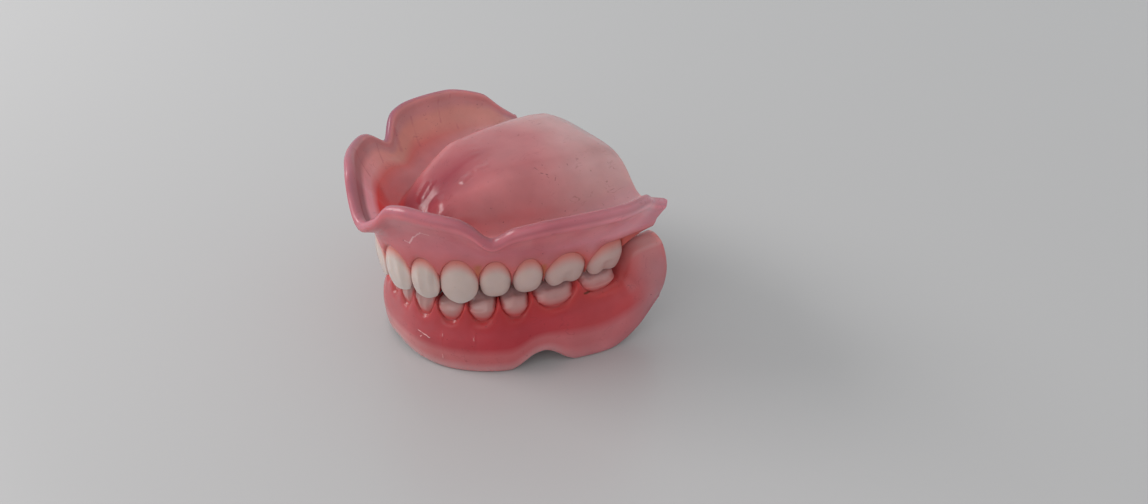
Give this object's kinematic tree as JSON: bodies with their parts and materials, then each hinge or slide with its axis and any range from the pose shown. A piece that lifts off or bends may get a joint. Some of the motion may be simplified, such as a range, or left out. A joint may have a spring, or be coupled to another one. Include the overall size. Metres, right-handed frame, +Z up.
{
  "type": "full denture set",
  "caption": "Full upper and lower denture set in occlusion: pink acrylic bases, a domed palate with flared notched flanges, and separate ivory teeth seated in scalloped gum margins.",
  "frame": {"origin": "on the surface that the lower denture stands on, under the middle of the set's width and length", "axes": "+Z up from the lower base's border through the bite plane to the palate; -Y towards the front teeth; +X towards the patient's left, which is the viewer's right when facing the front teeth"},
  "size_m": [0.071, 0.0566, 0.0408],
  "materials": {
    "upper_acrylic": "gloss",
    "lower_acrylic": "gloss",
    "tooth_acrylic": "gloss"
  },
  "bodies": {
    "root": {"upper_base": "upper_acrylic", "lower_base": "lower_acrylic", "upper_left_central_incisor": "tooth_acrylic", "upper_left_lateral_incisor": "tooth_acrylic", "upper_left_canine": "tooth_acrylic", "upper_left_first_premolar": "tooth_acrylic", "upper_left_second_premolar": "tooth_acrylic", "upper_left_first_molar": "tooth_acrylic", "upper_left_second_molar": "tooth_acrylic", "upper_right_central_incisor": "tooth_acrylic", "upper_right_lateral_incisor": "tooth_acrylic", "upper_right_canine": "tooth_acrylic", "upper_right_first_premolar": "tooth_acrylic", "upper_right_second_premolar": "tooth_acrylic", "upper_right_first_molar": "tooth_acrylic", "upper_right_second_molar": "tooth_acrylic", "lower_left_central_incisor": "tooth_acrylic", "lower_left_lateral_incisor": "tooth_acrylic", "lower_left_canine": "tooth_acrylic", "lower_left_first_premolar": "tooth_acrylic", "lower_left_second_premolar": "tooth_acrylic", "lower_left_first_molar": "tooth_acrylic", "lower_left_second_molar": "tooth_acrylic", "lower_right_central_incisor": "tooth_acrylic", "lower_right_lateral_incisor": "tooth_acrylic", "lower_right_canine": "tooth_acrylic", "lower_right_first_premolar": "tooth_acrylic", "lower_right_second_premolar": "tooth_acrylic", "lower_right_first_molar": "tooth_acrylic", "lower_right_second_molar": "tooth_acrylic"}
  },
  "joints": []
}
